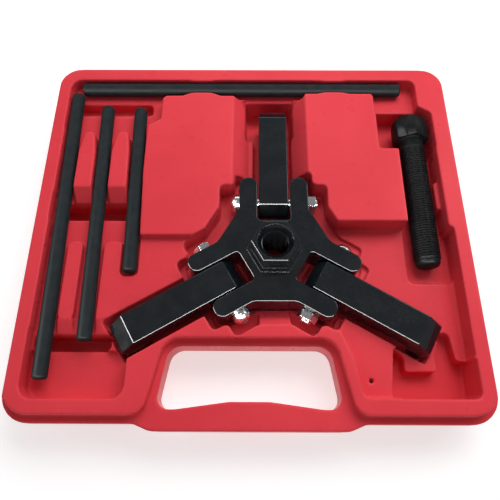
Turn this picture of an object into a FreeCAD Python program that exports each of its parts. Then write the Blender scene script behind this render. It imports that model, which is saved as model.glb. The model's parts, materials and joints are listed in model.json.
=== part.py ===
# Three-jaw harmonic balancer puller with its forcing screw and push rods, lying in the base of its case.
# Frame: millimetres, +Z up, origin at the middle of the tray's underside, -Y towards the carrying handle.
import FreeCAD, Part
import math
import os

import Sketcher
from FreeCAD import Placement, Rotation, Vector

DRIVING_SIZES = {
    # tray
    "tray_half_width": 166.0,
    "tray_half_depth": 148.0,
    "tray_corner": 20.0,
    "flange_width": 4.0,
    "handle_step": 4.5,
    "rim_level": 42.0,
    "flange_level": 34.0,
    "flange_underside": 24.0,
    "handle_underside": 14.0,
    "rod_floor": 31.0,
    "left_plateau": 36.0,
    "right_plateau": 25.0,
    "front_plateau": 33.0,
    "yoke_ledge": 22.0,
    "recess_floor": 26.0,
    "yoke_floor": 19.7,
    "jaw_floor": 16.5,
    "toe_floor": 8.0,
    "back_groove_floor": 21.0,
    "groove_floor": 12.0,
    "left_pocket_floor": 26.0,
    "right_pocket_floor": 14.0,
    "screw_floor": 20.5,
    "screw_head_floor": 14.5,
    "vent_radius": 1.6,
    "recess_draft": -38.0,
    "channel_draft": -6.0,
    "wall_draft": -3.0,
    # yoke
    "hub_across": 17.7,
    "hub_along": -24.4,
    "yoke_base": 20.0,
    "plate_thickness": 25.0,
    "web_distance": 39.05,
    "ear_half_span": 26.17,
    "ear_reach": 60.0,
    "ear_rounding": 6.6,
    "web_rounding": 10.0,
    "slot_half_width": 12.36,
    "slot_start": 23.74,
    "slot_rounding": 2.8,
    "edge_rounding": 0.9,
    "land_height": 1.4,
    "land_flats": 35.4,
    "boss_height": 16.0,
    "boss_flats": 30.0,
    "bore_radius": 10.05,
    "countersink_radius": 12.9,
    "countersink_depth": 4.0,
    # jaw hinges
    "pin_distance": 43.5,
    "pin_height": 12.5,
    "pin_radius": 4.0,
    "ear_hole_radius": 4.06,
    "jaw_hole_radius": 4.08,
    "jaw_width": 22.6,
    "jaw_rounding": 1.0,
    "washer_radius": 7.0,
    "washer_thickness": 2.2,
    "head_radius": 7.0,
    "head_height": 5.2,
    "socket_flats": 5.0,
    "socket_depth": 2.4,
    "nut_flats": 13.0,
    "nut_height": 6.5,
    "pin_tail": 1.8,
    # forcing screw
    "screw_across": 132.6,
    "screw_along": 77.0,
    "screw_level": 31.0,
    "thread_radius": 10.0,
    "neck_radius": 9.1,
    "neck_length": 7.0,
    "shank_length": 109.4,
    "tip_radius": 7.8,
    "tip_length": 3.0,
    "screw_flats": 25.4,
    "screw_head_length": 20.7,
    "crown_radius": 8.6,
    "crown_length": 6.2,
    # push rods
    "rod_radius": 5.25,
    "rod_end_rounding": 2.2,
    "rod_level": 36.5,
}
ARMS = {1: 0.0, 2: 120.0, 3: 240.0}
ROD_ENDS = {
    1: ((-143.0, 126.1), (127.0, 126.1)),
    2: ((-146.2, 119.8), (-141.3, -115.7)),
    3: ((-119.6, 106.8), (-114.7, -89.7)),
    4: ((-92.0, 104.9), (-88.3, -39.5)),
}
for rod, (rod_start, rod_end) in ROD_ENDS.items():
    DRIVING_SIZES[f"rod_{rod}_length"] = round(math.dist(rod_start, rod_end), 1)

doc = FreeCAD.newDocument("puller_kit")
sheet = doc.addObject("Spreadsheet::Sheet", "sizes")
for row, (alias, value) in enumerate(DRIVING_SIZES.items(), start=1):
    sheet.set(f"A{row}", alias)
    sheet.set(f"B{row}", str(value))
    sheet.setAlias(f"B{row}", alias)
doc.recompute()

sub_parts = []


def size(alias):
    """Value of one cell of the sheet, in millimetres."""
    return float(sheet.get(alias))


def new_body(label):
    body = doc.addObject("PartDesign::Body", label)
    body.Label = label
    sub_parts.append(body)
    return body


def origin_item(body, role):
    return next(item for item in body.Origin.OriginFeatures if item.Role == role)


def new_sketch(body, name, plane="XY_Plane", height=None):
    """Sketch on one of the body's own planes, lifted to the height that an expression gives."""
    sketch = body.newObject("Sketcher::SketchObject", name)
    sketch.AttachmentSupport = [(origin_item(body, plane), "")]
    sketch.MapMode = "FlatFace"
    if height:
        sketch.setExpression("AttachmentOffset.Base.z", height)
    return sketch


def corner_cut(before, corner, after, radius):
    """Start, middle and end of the arc that rounds one corner of an outline."""
    back = (before - corner).normalize()
    ahead = (after - corner).normalize()
    half_angle = math.acos(max(-1.0, min(1.0, back.dot(ahead)))) / 2
    run = radius / math.tan(half_angle)
    inward = (back + ahead).normalize()
    centre = corner + inward * (radius / math.sin(half_angle))
    return corner + back * run, centre - inward * radius, corner + ahead * run


def draw_pieces(sketch, pieces):
    """Lines and arcs that stay exactly where they are given."""
    for piece in pieces:
        index = sketch.addGeometry(piece, False)
        sketch.addConstraint(Sketcher.Constraint("Block", index))


def draw_outline(sketch, corners):
    """Closed outline of straight runs; each corner is (x, y) or (x, y, rounding radius)."""
    points = [Vector(c[0], c[1], 0) for c in corners]
    radii = [c[2] if len(c) > 2 else 0 for c in corners]
    ends = []
    for i, corner in enumerate(points):
        if radii[i]:
            ends.append(corner_cut(points[i - 1], corner, points[(i + 1) % len(points)], radii[i]))
        else:
            ends.append((corner, None, corner))
    pieces = []
    for i, (start, middle, end) in enumerate(ends):
        if middle:
            pieces.append(Part.Arc(start, middle, end))
        following = ends[(i + 1) % len(ends)][0]
        pieces.append(Part.LineSegment(end, following))
    draw_pieces(sketch, pieces)


def draw_circle(sketch, radius, across="0", along="0"):
    """Circle whose radius and centre are bound to the sheet."""
    index = sketch.addGeometry(Part.Circle(Vector(1, 1, 0), Vector(0, 0, 1), 1), False)
    bindings = (
        ("radius", Sketcher.Constraint("Radius", index, 1), radius),
        ("across", Sketcher.Constraint("DistanceX", -1, 1, index, 3, 1), across),
        ("along", Sketcher.Constraint("DistanceY", -1, 1, index, 3, 1), along),
    )
    for name, constraint, expression in bindings:
        number = sketch.addConstraint(constraint)
        label = f"{name}_{index}"
        sketch.renameConstraint(number, label)
        sketch.setExpression(f"Constraints.{label}", expression)
    return index


def add_pad(body, sketch, name, length, middle=False, reverse=False):
    pad = body.newObject("PartDesign::Pad", name)
    pad.Profile = sketch
    pad.setExpression("Length", length)
    pad.Midplane = middle
    pad.Reversed = reverse
    return pad


def add_pocket(body, sketch, name, length=None, middle=False, reverse=False, draft=0.0):
    """Pocket of the given depth, or through everything where no depth is given."""
    pocket = body.newObject("PartDesign::Pocket", name)
    pocket.Profile = sketch
    pocket.Midplane = middle
    pocket.Reversed = reverse
    if length:
        pocket.setExpression("Length", length)
        pocket.TaperAngle = draft
    else:
        pocket.Type = "ThroughAll"
    return pocket


def add_turned(body, kind, sketch, name, axis):
    turned = body.newObject(f"PartDesign::{kind}", name)
    turned.Profile = sketch
    turned.ReferenceAxis = (sketch, [axis])
    turned.Angle = 360
    return turned


def repeat_on_arms(body, name, features):
    """The same features on all three arms."""
    pattern = body.newObject("PartDesign::PolarPattern", name)
    pattern.Originals = features
    pattern.Axis = (origin_item(body, "Z_Axis"), [""])
    pattern.Angle = 360
    pattern.Occurrences = len(ARMS)
    body.Tip = pattern
    return pattern


def round_edges(body, name, base, wanted, radius):
    """Fillet on every edge of the base feature that the test accepts."""
    doc.recompute()
    names = [f"Edge{i}" for i, edge in enumerate(base.Shape.Edges, start=1) if wanted(edge)]
    fillet = body.newObject("PartDesign::Fillet", name)
    fillet.Base = (base, names)
    fillet.setExpression("Radius", radius)
    return fillet


def is_vertical(edge):
    first, last = edge.Vertexes[0].Point, edge.Vertexes[-1].Point
    return math.hypot(first.x - last.x, first.y - last.y) < 0.01 and abs(first.z - last.z) > 0.1


def lies_at_height(edge, height):
    return all(abs(v.Z - height) < 0.01 for v in edge.Vertexes) and abs(edge.CenterOfMass.z - height) < 0.01


def hexagon(flats, first_angle):
    """Corners of a hexagon of the given width across its flats."""
    corner_radius = flats / math.sqrt(3)
    turns = [math.radians(first_angle + 60 * i) for i in range(6)]
    return [(corner_radius * math.cos(a), corner_radius * math.sin(a)) for a in turns]


def arm_placement(angle, height=None):
    """Frame of one arm: the hub axis at the origin, +Y out along the arm."""
    level = size("yoke_base") if height is None else height
    base = Vector(size("hub_across"), size("hub_along"), level)
    return Placement(base, Rotation(Vector(0, 0, 1), angle))


def arm_point(angle, reach, side):
    """Point in the tray's frame from its reach along an arm and its offset to the arm's right."""
    turn = math.radians(angle)
    x = size("hub_across") + side * math.cos(turn) - reach * math.sin(turn)
    y = size("hub_along") + side * math.sin(turn) + reach * math.cos(turn)
    return x, y


# ---------------------------------------------------------------- yoke
def make_yoke():
    body = new_body("yoke")
    thickness = size("plate_thickness")
    slot_end = size("ear_reach") + 25

    web = new_sketch(body, "web_outline")
    apex = 2 * size("web_distance")
    turns = [math.radians(90 + angle) for angle in ARMS.values()]
    draw_outline(web, [(apex * math.cos(a), apex * math.sin(a)) for a in turns])
    add_pad(body, web, "web", "sizes.plate_thickness")

    ears = new_sketch(body, "ears_outline")
    span, reach = size("ear_half_span"), size("ear_reach")
    draw_outline(ears, [(-span, 0), (span, 0), (span, reach), (-span, reach)])
    ear_pad = add_pad(body, ears, "ears", "sizes.plate_thickness")
    repeat_on_arms(body, "all_ears", [ear_pad])

    slot = new_sketch(body, "slot_outline", height="sizes.plate_thickness")
    half, start = size("slot_half_width"), size("slot_start")
    draw_outline(slot, [(-half, start), (half, start), (half, slot_end), (-half, slot_end)])
    slot_cut = add_pocket(body, slot, "slot")
    slots = repeat_on_arms(body, "all_slots", [slot_cut])

    def at_radius(edge, low, high):
        point = edge.CenterOfMass
        return is_vertical(edge) and low < math.hypot(point.x, point.y) < high

    ear_corner = math.hypot(half, reach)
    rounded_ears = round_edges(body, "rounded_ears", slots, lambda e: at_radius(e, ear_corner - 1, 99),
                               "sizes.ear_rounding")
    slant = math.radians(30)
    waist = math.hypot(span, (size("web_distance") - span * math.cos(slant)) / math.sin(slant))
    rounded_web = round_edges(body, "rounded_web", rounded_ears,
                              lambda e: at_radius(e, waist - 1, waist + 1), "sizes.web_rounding")
    slot_corner = math.hypot(half, start)
    rounded_slots = round_edges(body, "rounded_slots", rounded_web,
                                lambda e: at_radius(e, slot_corner - 1, slot_corner + 1),
                                "sizes.slot_rounding")
    softened = round_edges(body, "softened_edges", rounded_slots,
                           lambda e: lies_at_height(e, thickness) or lies_at_height(e, 0),
                           "sizes.edge_rounding")
    body.Tip = softened

    land = new_sketch(body, "land_outline", height="sizes.plate_thickness")
    draw_outline(land, hexagon(size("land_flats"), 0))
    add_pad(body, land, "land", "sizes.land_height")
    boss = new_sketch(body, "boss_outline", height="sizes.plate_thickness")
    draw_outline(boss, hexagon(size("boss_flats"), 0))
    boss_pad = add_pad(body, boss, "boss", "sizes.boss_height")
    top = thickness + size("boss_height")
    soft_boss = round_edges(body, "softened_boss", boss_pad,
                            lambda e: lies_at_height(e, top), "sizes.edge_rounding")
    body.Tip = soft_boss

    bore = new_sketch(body, "bore_circle", height="sizes.plate_thickness + sizes.boss_height")
    draw_circle(bore, "sizes.bore_radius")
    add_pocket(body, bore, "threaded_bore")
    sink = new_sketch(body, "countersink_profile", "XZ_Plane")
    depth = size("countersink_depth")
    sink_radius = size("countersink_radius")
    draw_outline(sink, [(0, top + 1), (sink_radius, top + 1), (sink_radius, top),
                        (size("bore_radius"), top - depth), (0, top - depth)])
    add_turned(body, "Groove", sink, "countersink", "V_Axis")

    hole = new_sketch(body, "pin_hole_circle", "YZ_Plane")
    draw_circle(hole, "sizes.ear_hole_radius", "sizes.pin_distance", "sizes.pin_height")
    hole_cut = add_pocket(body, hole, "pin_hole", middle=True)
    repeat_on_arms(body, "all_pin_holes", [hole_cut])
    body.Placement = arm_placement(0)


# ---------------------------------------------------------------- jaws and their hinge pins
def make_jaw(number, angle):
    body = new_body(f"jaw_{number}")
    profile = new_sketch(body, "jaw_profile", "YZ_Plane")
    draw_outline(profile, [
        (37.6, 24.5, 3.0), (117.3, 23.6, 1.6), (128.8, 15.2, 3.0), (127.4, -9.0, 3.0), (117.0, -9.0, 3.0),
        (114.0, 6.0, 5.0), (104.0, 8.0, 20.0), (66.0, 1.6, 40.0), (30.4, 1.0, 8.0), (30.4, 15.5, 3.0)])
    bar = add_pad(body, profile, "jaw_bar", "sizes.jaw_width", middle=True)
    half = size("jaw_width") / 2
    softened = round_edges(body, "softened_edges", bar,
                           lambda e: all(abs(abs(v.X) - half) < 0.01 for v in e.Vertexes)
                           and abs(abs(e.CenterOfMass.x) - half) < 0.01, "sizes.jaw_rounding")
    body.Tip = softened
    hole = new_sketch(body, "pin_hole_circle", "YZ_Plane")
    draw_circle(hole, "sizes.jaw_hole_radius", "sizes.pin_distance", "sizes.pin_height")
    add_pocket(body, hole, "pin_hole", middle=True)
    body.Placement = arm_placement(angle)


def pin_placement(angle):
    """Frame of one hinge: the pin's axis along X, the bolt head on the -X side."""
    x, y = arm_point(angle, size("pin_distance"), 0)
    return Placement(Vector(x, y, size("yoke_base") + size("pin_height")), Rotation(Vector(0, 0, 1), angle))


def make_pin_bolt(number, angle):
    body = new_body(f"pin_bolt_{number}")
    under_head = size("ear_half_span") + size("washer_thickness") + 0.05
    head_top = under_head + size("head_height")
    tail = size("ear_half_span") + size("nut_height") + size("pin_tail")
    radius, head_radius = size("pin_radius"), size("head_radius")
    profile = new_sketch(body, "bolt_profile", "XZ_Plane")
    dome_edge = -under_head - 0.8
    dome_middle = Vector(-under_head - 0.78 * size("head_height"), 0.66 * head_radius, 0)
    draw_pieces(profile, [
        Part.Arc(Vector(-head_top, 1.4, 0), dome_middle, Vector(dome_edge, head_radius, 0)),
        Part.LineSegment(Vector(dome_edge, head_radius, 0), Vector(-under_head, head_radius, 0)),
        Part.LineSegment(Vector(-under_head, head_radius, 0), Vector(-under_head, radius, 0)),
        Part.LineSegment(Vector(-under_head, radius, 0), Vector(tail - 0.8, radius, 0)),
        Part.LineSegment(Vector(tail - 0.8, radius, 0), Vector(tail, radius - 0.8, 0)),
        Part.LineSegment(Vector(tail, radius - 0.8, 0), Vector(tail, 0, 0)),
        Part.LineSegment(Vector(tail, 0, 0), Vector(-head_top, 0, 0)),
        Part.LineSegment(Vector(-head_top, 0, 0), Vector(-head_top, 1.4, 0)),
    ])
    add_turned(body, "Revolution", profile, "bolt", "H_Axis")
    socket = new_sketch(body, "socket_outline", "YZ_Plane")
    socket.AttachmentOffset = Placement(Vector(0, 0, -head_top), Rotation())
    draw_outline(socket, hexagon(size("socket_flats"), 0))
    add_pocket(body, socket, "socket", "sizes.socket_depth", reverse=True)
    body.Placement = pin_placement(angle)


def make_pin_washer(number, angle):
    body = new_body(f"pin_washer_{number}")
    ring = new_sketch(body, "washer_rings", "YZ_Plane")
    ring.AttachmentOffset = Placement(Vector(0, 0, -size("ear_half_span") - 0.02), Rotation())
    draw_circle(ring, "sizes.washer_radius")
    draw_circle(ring, "sizes.ear_hole_radius")
    add_pad(body, ring, "washer", "sizes.washer_thickness", reverse=True)
    body.Placement = pin_placement(angle)


def make_pin_nut(number, angle):
    body = new_body(f"pin_nut_{number}")
    inner = size("ear_half_span") + 0.02
    outer = inner + size("nut_height")
    outline = new_sketch(body, "nut_outline", "YZ_Plane")
    outline.AttachmentOffset = Placement(Vector(0, 0, inner), Rotation())
    draw_outline(outline, hexagon(size("nut_flats"), 10))
    add_pad(body, outline, "nut", "sizes.nut_height")
    corner = size("nut_flats") / math.sqrt(3)
    flat = size("nut_flats") / 2
    chamfers = new_sketch(body, "chamfer_profiles", "XZ_Plane")
    for face, inward in ((inner, 1), (outer, -1)):
        points = [Vector(face, flat - 0.2, 0), Vector(face - inward, corner + 1, 0),
                  Vector(face + inward * 0.9, corner + 1, 0), Vector(face + inward * 0.6, corner, 0)]
        draw_pieces(chamfers, [Part.LineSegment(a, b) for a, b in zip(points, points[1:] + points[:1])])
    add_turned(body, "Groove", chamfers, "chamfers", "H_Axis")
    bore = new_sketch(body, "bore_circle", "YZ_Plane")
    draw_circle(bore, "sizes.ear_hole_radius")
    add_pocket(body, bore, "bore", middle=True)
    body.Placement = pin_placement(angle)


# ---------------------------------------------------------------- forcing screw
def make_forcing_screw():
    body = new_body("forcing_screw")
    head = new_sketch(body, "head_outline", "XZ_Plane")
    draw_outline(head, hexagon(size("screw_flats"), 28))
    add_pad(body, head, "head", "sizes.screw_head_length", reverse=True)
    corner = size("screw_flats") / math.sqrt(3)
    flat = size("screw_flats") / 2
    top, crown, crown_radius = size("screw_head_length"), size("crown_length"), size("crown_radius")
    crown_profile = new_sketch(body, "crown_profile")
    crown_start, crown_end = Vector(corner + 0.3, top - crown, 0), Vector(crown_radius, top, 0)
    beyond_top, beyond = Vector(crown_radius, top + 2, 0), Vector(corner + 4, top + 2, 0)
    beyond_low = Vector(corner + 4, top - crown, 0)
    crown_middle = Vector(corner - 1.6, top - 0.3 * crown, 0)
    draw_pieces(crown_profile, [
        Part.Arc(crown_start, crown_middle, crown_end), Part.LineSegment(crown_end, beyond_top),
        Part.LineSegment(beyond_top, beyond), Part.LineSegment(beyond, beyond_low),
        Part.LineSegment(beyond_low, crown_start)])
    add_turned(body, "Groove", crown_profile, "crown", "V_Axis")
    bevel = new_sketch(body, "underside_bevel_profile")
    draw_outline(bevel, [(flat - 0.3, 0), (flat - 0.3, -1), (corner + 1, -1), (corner + 1, 1.7)])
    add_turned(body, "Groove", bevel, "underside_bevel", "V_Axis")
    shank = new_sketch(body, "shank_profile")
    neck, length, tip = size("neck_length"), size("shank_length"), size("tip_length")
    radius, tip_radius = size("thread_radius"), size("tip_radius")
    draw_outline(shank, [
        (0, 0.5), (size("neck_radius"), 0.5), (size("neck_radius"), -neck), (radius, -neck - 0.5),
        (radius, tip - length), (tip_radius + 0.6, 1.6 - length), (tip_radius, -length), (0, -length)])
    add_turned(body, "Revolution", shank, "shank", "V_Axis")
    place = Vector(size("screw_across"), size("screw_along"), size("screw_level"))
    body.Placement = Placement(place, Rotation())


# ---------------------------------------------------------------- push rods
def make_push_rod(number, start, end):
    """Plain round rod between two points of its axis, each (x, y) at the rods' level."""
    body = new_body(f"push_rod_{number}")
    run = Vector(end[0] - start[0], end[1] - start[1], 0)
    circle = new_sketch(body, "rod_circle", "XZ_Plane")
    draw_circle(circle, "sizes.rod_radius")
    bar = add_pad(body, circle, "rod", f"sizes.rod_{number}_length")
    ends = round_edges(body, "rounded_ends", bar, lambda e: e.Closed, "sizes.rod_end_rounding")
    body.Tip = ends
    angle = math.degrees(math.atan2(run.x, -run.y))
    place = Vector(start[0], start[1], size("rod_level"))
    body.Placement = Placement(place, Rotation(Vector(0, 0, 1), angle))


# ---------------------------------------------------------------- case tray
def rectangle(left, right, front, back, rounding=0):
    corners = ((left, front), (right, front), (right, back), (left, back))
    return [(x, y, rounding) for x, y in corners]


def arm_rectangle(angle, half_width, start, end, rounding):
    corners = ((start, -half_width), (start, half_width), (end, half_width), (end, -half_width))
    return [(*arm_point(angle, reach, side), rounding) for reach, side in corners]


def yoke_outline(web, span, reach, rounding, notch=None):
    """Outline round the three arms: web corners, a notch for the pin ends, and the arm's end."""
    corners = []
    for angle in ARMS.values():
        half = [(span, reach)]
        if notch:
            notch_start, notch_end, notch_span = notch
            half += [(span, notch_end), (notch_span, notch_end), (notch_span, notch_start)]
        else:
            half += [(span, web)]
        for side, along in reversed(half):
            corners.append((*arm_point(angle, along, side), rounding))
        for side, along in half:
            corners.append((*arm_point(angle, along, -side), rounding))
    return corners


def make_case_tray():
    body = new_body("case_tray")
    half_width, half_depth = size("tray_half_width"), size("tray_half_depth")
    rim_x = half_width - size("flange_width")
    rim_back = half_depth - size("flange_width")
    flange_front = size("handle_step") - half_depth
    rim_front = flange_front + size("flange_width") + 1
    corner = size("tray_corner")

    def pad(name, corners, top, bottom="0"):
        sketch = new_sketch(body, f"{name}_outline", height=bottom)
        draw_outline(sketch, corners)
        return add_pad(body, sketch, name, f"{top} - ({bottom})")

    def pocket(name, corners, floor, draft=0.0):
        sketch = new_sketch(body, f"{name}_outline", height="sizes.rim_level")
        draw_outline(sketch, corners)
        return add_pocket(body, sketch, name, f"sizes.rim_level - {floor}", draft=draft)

    pad("rim_block", rectangle(-rim_x, rim_x, rim_front, rim_back, corner - 3), "sizes.rim_level")
    pad("flange", [
        (-half_width, half_depth, corner), (-half_width, flange_front, corner), (-77, flange_front, 8),
        (-66, -half_depth, 8), (66, -half_depth, 8), (77, flange_front, 8),
        (half_width, flange_front, corner), (half_width, half_depth, corner)],
        "sizes.flange_level", "sizes.flange_underside")

    def ramp(name, profile, spans):
        """Slopes with a profile in (y, z); each span gives a slope's lowest and highest x."""
        for number, (left, right) in enumerate(spans, start=1):
            sketch = new_sketch(body, f"{name}_profile_{number}", "YZ_Plane", height=str(left))
            draw_outline(sketch, profile)
            add_pad(body, sketch, f"{name}_{number}", str(right - left))

    # carrying handle: a zone stepped down from the rim, raised from below, with a window for the hand
    zone = [(-90, -170), (90, -170), (90, rim_front), (70, rim_front, 11), (58.5, -88, 14), (-58, -88, 14),
            (-70, rim_front, 11), (-90, rim_front)]
    pocket("handle_step_down", zone, "sizes.flange_level")
    lower_zone = new_sketch(body, "handle_underside_outline")
    draw_outline(lower_zone, [(-82, -170), (82, -170), (74, rim_front, 7), (60, -90, 14), (-60, -90, 14),
                              (-74, rim_front, 7)])
    add_pocket(body, lower_zone, "handle_underside", "sizes.handle_underside", reverse=True)
    handle_bar = new_sketch(body, "handle_bar_outline", height="sizes.handle_underside")
    draw_outline(handle_bar, [(-66, -half_depth, 7), (66, -half_depth, 7), (74, rim_front + 6, 3),
                              (-74, rim_front + 6, 3)])
    add_pad(body, handle_bar, "handle_bar", "sizes.flange_level - sizes.handle_underside")
    window = [(-55.8, -92.5, 11), (-63.5, -134.3, 8), (-50, -134.3, 20), (-14, -129.4, 40), (14, -129.4, 40),
              (50, -134.3, 20), (63, -134.3, 8), (55.8, -92.5, 11)]
    pocket("handle_window", window, "0")

    # bay for the three rods at the left, the rod along the back, and the islands between them
    pocket("rod_bay", [
        (-152.3, -128.7, 10), (-83.2, -128.7, 9), (-81.8, -16, 1), (-84.4, 45, 20), (-84.4, 86.5, 2),
        (-74, 92.5, 3), (-74, 113, 2), (-71, 116.5, 2), (45, 116.5), (45, 119, 1), (102.5, 119, 3),
        (102.5, 100),
        (138.5, 100), (138.5, 132.6, 6), (-152.3, 132.6, 9)], "sizes.rod_floor")
    pocket("left_plateau_step", [
        (-86, -11.8), (-44, -11.8, 4), (-5, -50), (-88, -98), (-96.5, -74), (-86, -74)],
        "sizes.left_plateau")
    island_base = "sizes.rod_floor - 5"
    pad("left_back_island", [
        (-137.4, 29, 2), (-123.5, 29, 2), (-124.2, 62, 8), (-126.5, 80, 4), (-134, 80, 4),
        (-137.4, 62, 12)], "sizes.rim_level", island_base)
    pad("right_back_island", [
        (-110.8, 29, 2), (-96.2, 29, 2), (-97.2, 62, 8), (-99.3, 80, 4), (-107.6, 80, 4),
        (-111, 62, 12)], "sizes.rim_level", island_base)
    pad("left_front_island", rectangle(-136.3, -125.0, -74, -15, 4), "sizes.left_plateau", island_base)
    pad("plateau_edge", [
        (-109.2, -74), (-81, -74), (-81, -12), (-82.6, -12), (-82.6, -42, 4), (-95.3, -42, 4),
        (-95.3, -15, 3), (-109.2, -15, 4)], "sizes.left_plateau", island_base)
    ramp("back_ramps", [(29.1, 42), (29.1, 26), (19.1, 26), (19.1, 32)],
         ((-137.4, -123.5), (-110.8, -96.2)))
    ramp("front_ramps", [(-73.9, 36), (-73.9, 26), (-84.7, 26), (-84.7, 31.4)],
         ((-136.3, -125.0), (-109.2, -95.5)))
    pocket("back_finger_groove", rectangle(-151, -83.5, 103.5, 114.5, 3), "sizes.back_groove_floor")
    pocket("middle_finger_groove", rectangle(-151, -85, 5, 19, 3), "sizes.groove_floor")
    pocket("front_finger_groove", rectangle(-151, -97, -95.3, -84.8, 3), "sizes.groove_floor")
    pocket("left_pocket", [
        (-152.3, -128.7, 10), (-83.2, -128.7, 9), (-83.2, -98), (-97, -95.2), (-152.3, -95.2)],
        "sizes.left_pocket_floor")
    for name, front, back in (("back_wall_bulge", 24, 84), ("front_wall_bulge", -82, 2)):
        pad(name, [(-155, front - 4), (-151.7, front, 6), (-151.7, back, 6), (-155, back + 4)],
            "sizes.rim_level", island_base)

    # plateaus and pockets at the right
    pocket("right_plateau_step", [
        (60, 0.3), (140, 0.3), (140, -5), (152, -5, 3), (152, -101, 2), (144.5, -101, 4), (142.5, -84, 5),
        (125, -98), (45, -52)], "sizes.right_plateau")
    pocket("front_plateau_step", [
        (75, -127.2, 4), (98, -127.2), (101, -97), (114, -88), (74, -64), (61.5, -80.6, 4),
        (70.5, -102, 20)], "sizes.front_plateau")
    pocket("right_pocket", [
        (95.5, -127.9, 4), (152.3, -127.9, 5), (152.3, -101.5), (144.8, -101.5, 4), (142, -80, 4),
        (112, -86), (99.5, -94, 3)], "sizes.right_pocket_floor")
    pad("tip_ledge", [
        (104, -86), (101, -93), (108.5, -98, 6), (108, -108.3, 2), (131, -108.3, 2), (130, -98, 8),
        (134, -86)], "sizes.right_plateau", "sizes.right_pocket_floor - 5")
    pocket("screw_channel", [
        (118.6, -43.3, 4), (152, -43.3, 4), (152, -5, 2), (148.2, -3, 2), (148.2, 70), (118.6, 70)],
        "sizes.screw_floor")
    pocket("screw_head_pocket", [
        (103.2, 64.8, 3), (148.9, 64.8, 3), (148.9, 99.5, 4), (138.5, 106, 3), (103.2, 106)],
        "sizes.screw_head_floor")

    # recess for the yoke: an upper outline that clears the pin ends and an inner one that clears the ears
    pocket("yoke_upper_recess", yoke_outline(0, 30, 67, 4, notch=(36, 55.5, 41.5)), "sizes.yoke_ledge")
    pocket("yoke_lower_recess", yoke_outline(30, 28.2, 62.5, 4), "sizes.yoke_floor")
    pocket("back_jaw_recess", rectangle(-14.3, 45.3, 14, 120.5), "sizes.recess_floor",
           draft=size("recess_draft"))
    for number, angle in ARMS.items():
        pocket(f"jaw_channel_{number}", arm_rectangle(angle, 17.5, 24, 132.5, 3), "sizes.jaw_floor",
               draft=size("channel_draft"))
    pocket("toe_pocket_1", rectangle(-5.5, 36, 80.5, 117.5, 3), "sizes.toe_floor",
           draft=size("wall_draft"))
    ramp("front_slope", [(-64.6, 19), (-64.6, 22), (-78, 38.0), (-78, 19)], ((6.5, 28.9),))
    for number in (2, 3):
        pocket(f"toe_pocket_{number}", arm_rectangle(ARMS[number], 14.5, 107, 131.5, 3), "sizes.toe_floor",
               draft=size("wall_draft"))

    # bumps that hold the back rod, a rib beside the screw, and the moulding's vent hole
    for name, middle, foot, crest in (
            ("left_rim_bump", -41.5, 134, 131.8), ("right_rim_bump", 69.3, 134, 131.8),
            ("left_block_bump", -41.5, 116, 119.9), ("right_block_bump", 69.3, 118, 120.4)):
        bump = [(middle - 17, foot), (middle - 8, crest, 20), (middle + 8, crest, 20), (middle + 17, foot)]
        pad(name, bump, "sizes.rim_level", "sizes.rod_floor - 2")
    pad("screw_rib", rectangle(145, 150, 14.7, 38, 0), "sizes.front_plateau", "sizes.screw_floor - 2")
    vent = new_sketch(body, "vent_circle", height="sizes.front_plateau")
    draw_circle(vent, "sizes.vent_radius", "82.4", "-115.4")
    add_pocket(body, vent, "vent_hole")


make_case_tray()
make_yoke()
for arm, arm_angle in ARMS.items():
    make_jaw(arm, arm_angle)
    make_pin_bolt(arm, arm_angle)
    make_pin_washer(arm, arm_angle)
    make_pin_nut(arm, arm_angle)
make_forcing_screw()
for rod, ends in ROD_ENDS.items():
    make_push_rod(rod, *ends)

# ---------------------------------------------------------------- checks and files
doc.recompute()
for item in doc.Objects:
    if "Invalid" in item.State or "Error" in item.State:
        raise RuntimeError(f"{item.Label}: {item.State}")
for body in sub_parts:
    if body.Shape.isNull() or not body.Shape.isValid() or len(body.Shape.Solids) != 1:
        raise RuntimeError(f"{body.Label}: bad shape with {len(body.Shape.Solids)} solids")
    before = None
    for feature in body.Group:
        if not feature.isDerivedFrom("PartDesign::Feature"):
            continue
        volume = feature.Shape.Volume
        if feature.TypeId in ("PartDesign::Pocket", "PartDesign::Groove") and not volume < before - 0.1:
            raise RuntimeError(f"{body.Label}: {feature.Label} cuts nothing")
        before = volume

os.makedirs("parts", exist_ok=True)
for body in sub_parts:
    body.Shape.exportStep(f"parts/{body.Label}.step")
    box = body.Shape.BoundBox
    print(f"{body.Label:16s} {body.Shape.Volume / 1000:9.2f} cm3  x {box.XMin:.1f} {box.XMax:.1f}"
          f"  y {box.YMin:.1f} {box.YMax:.1f}  z {box.ZMin:.1f} {box.ZMax:.1f}")
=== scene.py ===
import json
import math

import bmesh
import bpy
import numpy as np
from mathutils import Matrix, Vector
from mathutils.bvhtree import BVHTree


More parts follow.
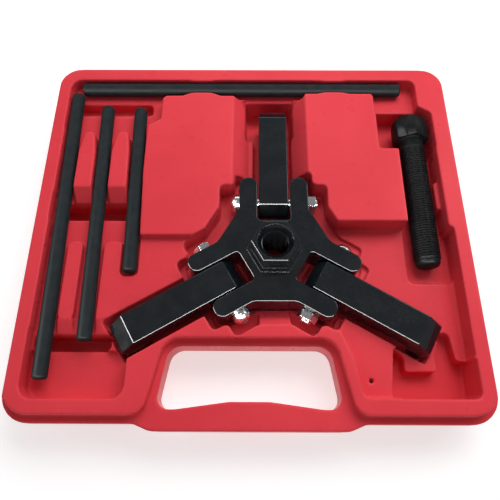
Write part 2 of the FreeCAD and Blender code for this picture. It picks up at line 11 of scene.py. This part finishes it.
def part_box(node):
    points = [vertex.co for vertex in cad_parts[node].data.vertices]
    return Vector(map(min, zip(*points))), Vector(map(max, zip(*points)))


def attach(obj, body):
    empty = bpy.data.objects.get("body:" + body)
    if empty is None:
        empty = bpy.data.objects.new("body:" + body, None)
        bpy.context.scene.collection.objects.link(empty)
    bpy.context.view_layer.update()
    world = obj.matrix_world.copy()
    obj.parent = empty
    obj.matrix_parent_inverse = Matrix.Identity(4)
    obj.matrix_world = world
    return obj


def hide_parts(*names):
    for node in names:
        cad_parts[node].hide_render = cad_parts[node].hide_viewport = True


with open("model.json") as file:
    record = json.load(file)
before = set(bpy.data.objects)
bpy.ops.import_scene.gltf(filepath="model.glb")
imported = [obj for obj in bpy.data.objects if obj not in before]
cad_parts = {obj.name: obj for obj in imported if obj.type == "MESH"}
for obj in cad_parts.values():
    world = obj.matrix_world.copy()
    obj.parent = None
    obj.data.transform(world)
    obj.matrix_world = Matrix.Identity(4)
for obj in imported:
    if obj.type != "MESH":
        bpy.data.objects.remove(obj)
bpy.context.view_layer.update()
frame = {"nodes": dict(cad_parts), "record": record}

scene = bpy.context.scene
MM = 0.001
BRIGHT = (1.0, 1.0, 1.0, 1.0)

# Blow-moulded tray
TRAY_VOXEL = 0.8 * MM
SMOOTHING = 0.5
SMOOTHING_ROUNDS = 7
KEPT_FACES = 0.3
TOOL_GAP = 0.35 * MM
LOWEST_POCKET = 6 * MM

# Threads of the forcing screw and the hub
PITCH = 2.0 * MM
RINGS_PER_TURN = 12
THREAD_STEPS = 72
FLANK_SLOPE = 2.6
CREST_SHARE = 0.9
SCREW_THREAD_DEPTH = 1.1 * MM
HUB_THREAD_DEPTH = 1.05 * MM
HUB_WALL_OVERLAP = 0.03 * MM

# Forcing screw
PLAIN_SHANK = 60 * MM        # from the tip, and clear of the head
HEAD_TO_SHANK = 1.1          # anything wider than this many shanks is the head
HEAD_OVERLAP = 0.5 * MM
HEAD_CUT = 0.02 * MM
NECK_LENGTH = 7.4 * MM
NECK_RAMP = 0.6 * MM
NECK_INSET = 0.5 * MM
CREST_INSET = 0.12 * MM
PLAIN_TIP = 6.0 * MM
TIP_RELIEF = 0.9 * MM
TIP_ROUNDING = 1.9 * MM
WELD_DISTANCE = 1e-6
SHARP_ANGLE = math.radians(32)

# Floor, light and camera
FLOOR_REACH = 3
LIGHT_TARGET = Vector((0, 0, 0.02))
WORLD_STRENGTH = 0.22
CAMERA_PLACE = Vector((0.78, -158.63, 371.62)) * MM
CAMERA_TILT = math.radians(67.76)
CAMERA_YAW = -0.007
CAMERA_ROLL = -0.003
CAMERA_LENS = 35.1


# ---------------------------------------------------------------- meshes
def link(name, mesh):
    """New object for a mesh, in the scene's collection."""
    obj = bpy.data.objects.new(name, mesh)
    scene.collection.objects.link(obj)
    return obj


def mesh_from(name, points, faces):
    """New mesh from lists of points and faces."""
    mesh = bpy.data.meshes.new(name)
    mesh.from_pydata([tuple(p) for p in points], [], faces)
    mesh.update()
    return mesh


def shade_smooth(mesh):
    """Smooth shading on every face."""
    mesh.polygons.foreach_set("use_smooth", np.ones(len(mesh.polygons), bool))


def evaluated_mesh(obj):
    """The object's mesh with its modifiers applied."""
    graph = bpy.context.evaluated_depsgraph_get()
    graph.update()
    return bpy.data.meshes.new_from_object(obj.evaluated_get(graph))


def coordinates(mesh):
    """The mesh's vertices as an array with one row each."""
    flat = np.zeros(len(mesh.vertices) * 3)
    mesh.vertices.foreach_get("co", flat)
    return flat.reshape(-1, 3)


def node_tree(names):
    """One search tree over several CAD nodes."""
    points, faces = [], []
    for name in names:
        data = frame["nodes"][name].data
        start = len(points)
        points += [v.co.copy() for v in data.vertices]
        faces += [[start + i for i in p.vertices] for p in data.polygons]
    return BVHTree.FromPolygons(points, faces)


def lower_under_tools(mesh):
    """Moves the tray's skin down wherever its softened shape reaches a tool."""
    tools = node_tree(sorted(set(frame["nodes"]) - {"case_tray"}))
    below_tray = -0.01
    up = Vector((0, 0, 1))
    points = coordinates(mesh)
    for index, (x, y, z) in enumerate(points):
        if z < LOWEST_POCKET:
            continue
        hit = tools.ray_cast(Vector((x, y, below_tray)), up)
        if hit[0] is not None and z > hit[0].z - TOOL_GAP:
            points[index, 2] = hit[0].z - TOOL_GAP
    mesh.vertices.foreach_set("co", points.ravel())
    mesh.update()


def moulded_tray():
    """The tray with the rounded edges of a blow moulding, made from the CAD tray's own shape."""
    source = link("tray_source", frame["nodes"]["case_tray"].data.copy())
    voxels = source.modifiers.new("voxels", "REMESH")
    voxels.mode = "VOXEL"
    voxels.voxel_size = TRAY_VOXEL
    soft = source.modifiers.new("soft", "SMOOTH")
    soft.factor = SMOOTHING
    soft.iterations = SMOOTHING_ROUNDS
    mesh = evaluated_mesh(source)
    bpy.data.objects.remove(source)
    lower_under_tools(mesh)
    tray = link("tray_moulding", mesh)
    thin = tray.modifiers.new("thin", "DECIMATE")
    thin.ratio = KEPT_FACES
    mesh = evaluated_mesh(tray)
    tray.modifiers.clear()
    tray.data = mesh
    mesh.name = "tray_moulding"
    shade_smooth(mesh)
    return tray


def turned_grid(rings, origin, axis, capped):
    """Points and faces of a surface turned about an axis.

    Each ring is a list of (along, radius) pairs, one for each of the THREAD_STEPS steps of a turn.
    """
    steps = THREAD_STEPS
    side = axis.orthogonal().normalized()
    other = axis.cross(side)
    points, faces = [], []
    for ring in rings:
        for i, (along, radius) in enumerate(ring):
            angle = 2 * math.pi * i / steps
            outward = side * math.cos(angle) + other * math.sin(angle)
            points.append(origin + axis * along + outward * radius)
    for r in range(len(rings) - 1):
        for i in range(steps):
            j = (i + 1) % steps
            faces.append((r * steps + i, r * steps + j, (r + 1) * steps + j, (r + 1) * steps + i))
    if capped:
        last = (len(rings) - 1) * steps
        faces.append(tuple(range(steps - 1, -1, -1)))
        faces.append(tuple(range(last, last + steps)))
    return points, faces


def thread_depth(phase):
    """Depth of a V thread, 0 at the crest and 1 at the root, over one turn's phase."""
    wave = abs((phase % 1.0) * 2 - 1)
    return min(1.0, max(0.0, wave * FLANK_SLOPE - CREST_SHARE))


def screw_shaft(outer, head_base, tip, centre):
    """The forcing screw's neck, its helical thread and its rounded tip, as one closed mesh."""
    finish = head_base - tip
    neck = outer - NECK_INSET
    rings = [[(-HEAD_OVERLAP, neck)] * THREAD_STEPS, [(NECK_LENGTH - NECK_RAMP, neck)] * THREAD_STEPS]
    count = int((finish - NECK_LENGTH) / (PITCH / RINGS_PER_TURN))
    for k in range(count + 1):
        along = NECK_LENGTH + (finish - NECK_LENGTH) * k / count
        shrink = max(0.0, 1 - (finish - along) / PLAIN_TIP)
        limit = outer - TIP_RELIEF * min(1.0, 3 * shrink) - TIP_ROUNDING * shrink ** 5
        fade = min(1.0, (along - NECK_LENGTH) / PITCH)
        ring = []
        for i in range(THREAD_STEPS):
            cut = thread_depth(along / PITCH - i / THREAD_STEPS) * SCREW_THREAD_DEPTH * fade
            ring.append((along, min(limit, outer - CREST_INSET - cut)))
        rings.append(ring)
    axis = Vector((0, -1, 0))
    points, faces = turned_grid(rings, Vector((centre.x, head_base, centre.z)), axis, capped=True)
    return mesh_from("screw_shaft", points, faces)


def threaded_screw():
    """The forcing screw: the CAD head with a neck and a helical thread in place of the plain shank."""
    node = frame["nodes"]["forcing_screw"]
    low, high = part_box("forcing_screw")
    centre_x = (low.x + high.x) / 2
    points = coordinates(node.data)
    shank = points[points[:, 1] < low.y + PLAIN_SHANK]
    centre = Vector((centre_x, 0, (shank[:, 2].max() + shank[:, 2].min()) / 2))
    outer = (shank[:, 2].max() - shank[:, 2].min()) / 2
    from_axis = np.hypot(points[:, 0] - centre_x, points[:, 2] - centre.z)
    head_base = points[from_axis > HEAD_TO_SHANK * outer, 1].min()
    head = bmesh.new()
    head.from_mesh(node.data)
    bmesh.ops.remove_doubles(head, verts=head.verts, dist=WELD_DISTANCE)
    geometry = head.verts[:] + head.edges[:] + head.faces[:]
    cut = bmesh.ops.bisect_plane(head, geom=geometry, plane_co=(0, head_base - HEAD_CUT, 0),
                                 plane_no=(0, 1, 0), clear_inner=True)
    rim = [e for e in cut["geom_cut"] if isinstance(e, bmesh.types.BMEdge)]
    bmesh.ops.holes_fill(head, edges=rim)
    head.from_mesh(screw_shaft(outer, head_base, low.y, centre))
    mesh = bpy.data.meshes.new("screw_threaded")
    head.to_mesh(mesh)
    head.free()
    shade_smooth(mesh)
    mesh.set_sharp_from_angle(angle=SHARP_ANGLE)
    return link("screw_threaded", mesh)


def hub_thread():
    """Thread ridges in the hub's bore, from its foot up to the countersink."""
    mount = next(m for m in frame["record"]["mounts"] if m["name"] == "hub_thread")
    radius = mount["dims"]["r_mm"] * MM
    length = mount["dims"]["length_mm"] * MM
    foot = Vector(mount["pos_m"]) - Vector((0, 0, length / 2))
    rings = []
    count = int(length / (PITCH / RINGS_PER_TURN))
    for k in range(count + 1):
        along = length * k / count
        fade = max(0.0, min(1.0, 2 * (length - along) / PITCH, 2 * along / PITCH))
        ring = []
        for i in range(THREAD_STEPS):
            ridge = 1 - thread_depth(along / PITCH - i / THREAD_STEPS)
            ring.append((along, radius + HUB_WALL_OVERLAP - ridge * HUB_THREAD_DEPTH * fade))
        rings.append(ring)
    points, faces = turned_grid(rings, foot, Vector((0, 0, 1)), capped=False)
    mesh = mesh_from("hub_thread_ridges", points, [tuple(reversed(f)) for f in faces])
    shade_smooth(mesh)
    return link("hub_thread_ridges", mesh)


# ---------------------------------------------------------------- materials
class Shader:
    """A Principled material whose nodes are added one call at a time."""

    def __init__(self, name, base, roughness, metallic=0.0, specular=0.5, coat=0.0, coat_roughness=0.1):
        self.material = bpy.data.materials.new(name)
        self.material.use_nodes = True
        self.tree = self.material.node_tree
        self.surface = self.tree.nodes["Principled BSDF"]
        self.set("Base Color", (*base, 1))
        self.set("Roughness", roughness)
        self.set("Metallic", metallic)
        self.set("Specular IOR Level", specular)
        self.set("Coat Weight", coat)
        self.set("Coat Roughness", coat_roughness)
        self.position = self.tree.nodes.new("ShaderNodeTexCoord").outputs["Object"]

    def set(self, socket, value):
        """A constant on one of the surface's sockets."""
        self.surface.inputs[socket].default_value = value

    def link(self, output, target):
        """A wire between two sockets."""
        self.tree.links.new(output, target)

    def node(self, kind, **values):
        """New node with its properties set."""
        made = self.tree.nodes.new(kind)
        for name, value in values.items():
            setattr(made, name, value)
        return made

    def noise(self, scale, detail=3.0, roughness=0.5, stretch=(1, 1, 1)):
        """Noise over the object's own coordinates; a larger scale gives finer noise."""
        mapping = self.node("ShaderNodeMapping")
        mapping.inputs["Scale"].default_value = stretch
        self.link(self.position, mapping.inputs["Vector"])
        made = self.node("ShaderNodeTexNoise")
        made.inputs["Scale"].default_value = scale
        made.inputs["Detail"].default_value = detail
        made.inputs["Roughness"].default_value = roughness
        self.link(mapping.outputs["Vector"], made.inputs["Vector"])
        return made.outputs["Fac"]

    def spread(self, value, low, high, to_low=0.0, to_high=1.0):
        """The part of a value between low and high, stretched to run from to_low to to_high."""
        made = self.node("ShaderNodeMapRange", clamp=True)
        for socket, number in (("From Min", low), ("From Max", high), ("To Min", to_low), ("To Max", to_high)):
            made.inputs[socket].default_value = number
        self.link(value, made.inputs["Value"])
        return made.outputs["Result"]

    def product(self, first, second):
        """Two values multiplied, kept between 0 and 1."""
        made = self.node("ShaderNodeMath", operation="MULTIPLY", use_clamp=True)
        self.link(first, made.inputs[0])
        self.link(second, made.inputs[1])
        return made.outputs[0]

    def mix(self, amount, first, second):
        """Two colours mixed; each is a plain colour or another node's output."""
        made = self.node("ShaderNodeMix", data_type="RGBA")
        self.link(amount, made.inputs["Factor"])
        for value, target in ((first, made.inputs["A"]), (second, made.inputs["B"])):
            if isinstance(value, tuple):
                target.default_value = (*value, 1)
            else:
                self.link(value, target)
        return made.outputs["Result"]

    def edges(self, radius, low, high):
        """1 along convex and concave edges, 0 on open faces."""
        bevel = self.node("ShaderNodeBevel", samples=6)
        bevel.inputs["Radius"].default_value = radius
        geometry = self.node("ShaderNodeNewGeometry")
        dot = self.node("ShaderNodeVectorMath", operation="DOT_PRODUCT")
        self.link(bevel.outputs["Normal"], dot.inputs[0])
        self.link(geometry.outputs["Normal"], dot.inputs[1])
        return self.spread(dot.outputs["Value"], high, low)

    def soft_edges(self, radius):
        """Normals that turn round sharp edges, so that an edge catches the light as a rounded one does."""
        bevel = self.node("ShaderNodeBevel", samples=8)
        bevel.inputs["Radius"].default_value = radius
        return bevel.outputs["Normal"]

    def bump(self, height, distance, strength, under=None):
        """Normals of a bumpy surface, laid over the normals given as under."""
        made = self.node("ShaderNodeBump")
        made.inputs["Strength"].default_value = strength
        made.inputs["Distance"].default_value = distance
        self.link(height, made.inputs["Height"])
        if under:
            self.link(under, made.inputs["Normal"])
        return made.outputs["Normal"]

    def finish(self, colour, roughness=None, normal=None):
        """Wires the finished values into the surface and gives the material."""
        for value, socket in ((colour, "Base Color"), (roughness, "Roughness"), (normal, "Normal")):
            if value:
                self.link(value, self.surface.inputs[socket])
        return self.material


def red_plastic():
    """Satin moulded plastic with faint clouds, pale scuffs and a fine grain."""
    shader = Shader("red_moulded_plastic", (0.65, 0.040, 0.052), 0.32, specular=0.15)
    clouds = shader.noise(14, 4)
    colour = shader.mix(shader.spread(clouds, 0.35, 0.65), (0.68, 0.045, 0.060), (0.75, 0.053, 0.070))
    scuffs = shader.spread(shader.noise(260, 6, 0.7, stretch=(0.25, 1, 1)), 0.62, 0.75)
    scuffs = shader.product(scuffs, shader.spread(clouds, 0.5, 0.7, 0.0, 0.25))
    colour = shader.mix(scuffs, colour, (0.76, 0.11, 0.12))
    roughness = shader.spread(shader.noise(90, 5), 0.3, 0.7, 0.26, 0.36)
    waves = shader.bump(shader.noise(55, 2), 0.25 * MM, 0.35)
    grain = shader.bump(shader.noise(1800, 3), 0.05 * MM, 0.35, under=waves)
    return shader.finish(colour, roughness, grain)


def edge_coloured_metal(shader, edges, edge_noise, edge_noise_range, blotch, tone_range, tones, edge_colour, gloss_range, roughness,
               grain):
    """A metal's blotched colour with a second colour along its edges (rubbed metal, and on the black coating
    also a painted highlight line), its uneven gloss and its fine grain.
    """
    edge_mask = shader.product(shader.edges(*edges), shader.spread(shader.noise(*edge_noise), *edge_noise_range))
    blotches = shader.noise(*blotch)
    colour = shader.mix(shader.spread(blotches, *tone_range), *tones)
    colour = shader.mix(edge_mask, colour, edge_colour)
    gloss = shader.spread(blotches, *gloss_range, *roughness)
    return shader.finish(colour, gloss, grain)


def black_coating():
    """Glossy black coating over a forged surface, rubbed through along the edges, where the pale edge colour
    also paints a highlight line.
    """
    shader = Shader("black_coated_steel", (0.005, 0.007, 0.009), 0.34, specular=0.12, coat=1.0,
                    coat_roughness=0.06)
    forged = shader.bump(shader.noise(60, 2), 0.2 * MM, 0.12, under=shader.soft_edges(0.7 * MM))
    return edge_coloured_metal(
        shader, edges=(0.5 * MM, 0.90, 0.985), edge_noise=(420, 4), edge_noise_range=(0.42, 0.62),
        blotch=(70, 5, 0.6), tone_range=(0.4, 0.7),
        # The pale edge colour is rubbed metal and also a painted highlight line along every edge.
        tones=((0.0040, 0.0062, 0.0085), (0.0065, 0.0090, 0.0115)), edge_colour=(0.10, 0.105, 0.11),
        gloss_range=(0.35, 0.7), roughness=(0.20, 0.34),
        grain=shader.bump(shader.noise(900, 3), 0.02 * MM, 0.15, under=forged))


def screw_oxide():
    """Satin black oxide, slightly oily."""
    shader = Shader("black_oxide_steel", (0.010, 0.011, 0.012), 0.45, specular=0.08)
    return edge_coloured_metal(
        shader, edges=(0.35 * MM, 0.88, 0.98), edge_noise=(700, 4), edge_noise_range=(0.4, 0.65),
        blotch=(110, 5, 0.6), tone_range=(0.4, 0.7),
        tones=((0.007, 0.0078, 0.0085), (0.013, 0.014, 0.015)), edge_colour=(0.20, 0.205, 0.21),
        gloss_range=(0.35, 0.7), roughness=(0.38, 0.50),
        grain=shader.bump(shader.noise(1300, 3), 0.03 * MM, 0.3))


def rod_oxide():
    """Matte grey-black oxide."""
    shader = Shader("dark_rod_steel", (0.016, 0.020, 0.022), 0.5, specular=0.07)
    return edge_coloured_metal(
        shader, edges=(0.5 * MM, 0.9, 0.985), edge_noise=(500, 4), edge_noise_range=(0.45, 0.65),
        blotch=(150, 6, 0.65), tone_range=(0.35, 0.7),
        tones=((0.013, 0.018, 0.020), (0.021, 0.027, 0.030)), edge_colour=(0.14, 0.15, 0.15),
        gloss_range=(0.3, 0.7), roughness=(0.44, 0.60),
        grain=shader.bump(shader.noise(1500, 4), 0.06 * MM, 0.5))


def zinc_plate():
    """Bright zinc plating, duller along the edges."""
    shader = Shader("zinc_plated_steel", (0.78, 0.79, 0.80), 0.16, metallic=1.0)
    return edge_coloured_metal(
        shader, edges=(0.4 * MM, 0.85, 0.97), edge_noise=(800, 3), edge_noise_range=(0.4, 0.6),
        blotch=(900, 4, 0.6), tone_range=(0.35, 0.7),
        tones=((0.70, 0.71, 0.72), (0.88, 0.89, 0.89)), edge_colour=(0.40, 0.40, 0.40),
        gloss_range=(0.3, 0.7), roughness=(0.13, 0.24),
        grain=shader.bump(shader.noise(1600, 3), 0.012 * MM, 0.2, under=shader.soft_edges(0.4 * MM)))


def floor_material():
    """A pale floor that stays white round the tray."""
    shader = Shader("pale_floor", (0.55, 0.55, 0.55), 0.6, specular=0.2)
    shader.set("Emission Color", BRIGHT)
    shader.set("Emission Strength", 0.62)
    colour = shader.mix(shader.noise(3, 3), (0.53, 0.53, 0.53), (0.56, 0.56, 0.56))
    return shader.finish(colour)


def give(obj, material):
    """Makes a material the object's only one."""
    obj.data.materials.clear()
    obj.data.materials.append(material)


# ---------------------------------------------------------------- pieces
RED, BLACK, SCREW, ROD, ZINC = red_plastic(), black_coating(), screw_oxide(), rod_oxide(), zinc_plate()
NODE_MATERIALS = {"yoke": BLACK, "jaw": BLACK, "pin": ZINC, "push": ROD, "forcing": SCREW, "case": RED}
for node_name, node_object in frame["nodes"].items():
    node_material = NODE_MATERIALS[node_name.split("_")[0]]
    for material_slot in node_object.material_slots:
        material_slot.material = node_material

tray_piece = moulded_tray()
give(tray_piece, RED)
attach(tray_piece, "tray")
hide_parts("case_tray")

screw_piece = threaded_screw()
give(screw_piece, SCREW)
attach(screw_piece, "screw")
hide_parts("forcing_screw")

thread_piece = hub_thread()
give(thread_piece, BLACK)
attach(thread_piece, "puller")

# ---------------------------------------------------------------- floor, light and camera
floor_corners = [(x * FLOOR_REACH, y * FLOOR_REACH, 0) for x, y in ((-1, -1), (1, -1), (1, 1), (-1, 1))]
floor = link("floor", mesh_from("floor", floor_corners, [(0, 1, 2, 3)]))
give(floor, floor_material())


def area_light(name, place, size, power, diffuse=True, glossy=True):
    """A rectangular light aimed at the tools; diffuse and glossy say how surfaces may show it."""
    data = bpy.data.lights.new(name, "AREA")
    data.shape = "RECTANGLE"
    data.size, data.size_y = size
    data.energy = power
    light = bpy.data.objects.new(name, data)
    scene.collection.objects.link(light)
    light.visible_diffuse = diffuse
    light.visible_glossy = glossy
    aim = LIGHT_TARGET - Vector(place)
    light.matrix_world = Matrix.Translation(place) @ aim.to_track_quat("-Z", "Y").to_matrix().to_4x4()
    return light


area_light("softbox_right", place=(1.0, 0.6, 0.95), size=(0.7, 0.7), power=5)
area_light("softbox_back", place=(-0.1, 1.6, 0.95), size=(1.6, 0.4), power=6)
area_light("softbox_left", place=(-1.1, 0.15, 0.75), size=(0.6, 0.8), power=1.5)
area_light("ceiling_fill", place=(0.2, 0.42, 0.78), size=(0.7, 0.5), power=5.2, glossy=False)
area_light("softbox_front", place=(-0.1, -1.4, 0.6), size=(1.2, 0.3), power=2.2, glossy=False)

# Only the metal pieces receive these two strips, which draw the bright lines along their edges.
tool_strips = (
    area_light("edge_strip_front", place=(0.0, -0.95, 0.9), size=(2.2, 0.5), power=107, diffuse=False),
    area_light("edge_strip_left", place=(-1.15, -0.2, 0.8), size=(0.9, 0.6), power=45, diffuse=False),
)
metal_pieces = bpy.data.collections.new("metal_pieces")
for piece in [*frame["nodes"].values(), screw_piece]:
    if piece.name != "case_tray":
        metal_pieces.objects.link(piece)
for strip in tool_strips:
    strip.light_linking.receiver_collection = metal_pieces

world = bpy.data.worlds.new("studio")
scene.world = world
world.use_nodes = True
world.node_tree.nodes["Background"].inputs["Color"].default_value = BRIGHT
world.node_tree.nodes["Background"].inputs["Strength"].default_value = WORLD_STRENGTH
scene.view_settings.view_transform = "Standard"

level = math.cos(CAMERA_TILT)
forward = Vector((math.sin(CAMERA_YAW) * level, math.cos(CAMERA_YAW) * level, -math.sin(CAMERA_TILT)))
right = Vector((math.cos(CAMERA_YAW), -math.sin(CAMERA_YAW), 0))
upward = right.cross(forward)
camera_data = bpy.data.cameras.new("camera")
camera_data.lens = CAMERA_LENS
camera_data.sensor_width = 36
camera_data.clip_start = 0.01
camera = bpy.data.objects.new("camera", camera_data)
scene.collection.objects.link(camera)
turn = Matrix((right, upward, -forward)).transposed() @ Matrix.Rotation(CAMERA_ROLL, 3, "Z")
camera.matrix_world = Matrix.Translation(CAMERA_PLACE) @ turn.to_4x4()
scene.camera = camera
